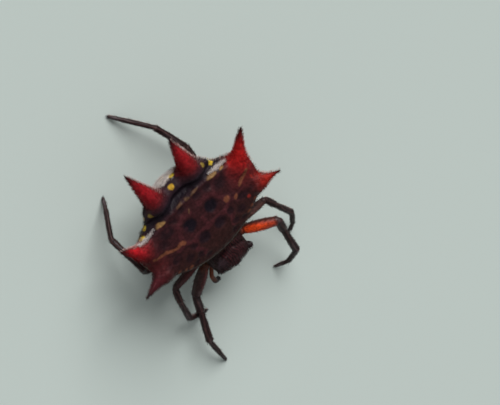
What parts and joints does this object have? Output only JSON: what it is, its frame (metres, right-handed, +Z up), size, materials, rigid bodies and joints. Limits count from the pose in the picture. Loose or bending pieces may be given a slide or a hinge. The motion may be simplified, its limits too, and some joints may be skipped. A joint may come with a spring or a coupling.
{
  "type": "spiny orb weaver spider",
  "caption": "Still, life-size spiny orb weaver: a wide hard abdomen with long red thorns over a small dark head and bent dark legs, standing with its feet on the floor.",
  "frame": {"origin": "on the floor under the middle of the whole animal's box", "axes": "+Z up, -Y ahead where the head points, +X the spider's left side; the longest extent runs along Y and the shortest along Z"},
  "size_m": [0.0114, 0.0184, 0.006],
  "materials": {
    "plate": "dark maroon-brown shell, semi-gloss, with tan marks",
    "spine": "crimson thorn, semi-gloss, with a black tip",
    "head": "dark brown shell, semi-gloss, finely haired",
    "leg": "dark brown leg, semi-gloss, finely bristled",
    "bright_leg": "red-orange leg with a dark upper edge",
    "eye": "glossy black eye"
  },
  "bodies": {
    "root": {"abdomen": "plate", "carapace": "head", "chelicera_left": "head", "chelicera_right": "head", "eye_front_middle_left": "eye", "eye_front_middle_right": "eye", "eye_front_side_left": "eye", "eye_front_side_right": "eye", "eye_rear_middle_left": "eye", "eye_rear_middle_right": "eye", "eye_rear_side_left": "eye", "eye_rear_side_right": "eye", "leg_1_left_femur": "bright_leg", "leg_1_left_tarsus": "leg", "leg_1_left_tibia": "leg", "leg_1_right_femur": "bright_leg", "leg_1_right_tarsus": "leg", "leg_1_right_tibia": "leg", "leg_2_left_femur": "leg", "leg_2_left_tarsus": "leg", "leg_2_left_tibia": "leg", "leg_2_right_femur": "leg", "leg_2_right_tarsus": "leg", "leg_2_right_tibia": "leg", "leg_3_left_femur": "leg", "leg_3_left_tarsus": "leg", "leg_3_left_tibia": "leg", "leg_3_right_femur": "leg", "leg_3_right_tarsus": "leg", "leg_3_right_tibia": "leg", "leg_4_left_femur": "leg", "leg_4_left_tarsus": "leg", "leg_4_left_tibia": "leg", "leg_4_right_femur": "leg", "leg_4_right_tarsus": "leg", "leg_4_right_tibia": "leg", "palp_left_base": "leg", "palp_left_tip": "leg", "palp_right_base": "leg", "palp_right_tip": "leg", "pedicel": "head", "spine_front_left": "spine", "spine_front_right": "spine", "spine_rear_left": "spine", "spine_rear_right": "spine", "spine_side_left": "spine", "spine_side_right": "spine", "spinnerets": "plate", "sternum": "head"}
  },
  "joints": []
}
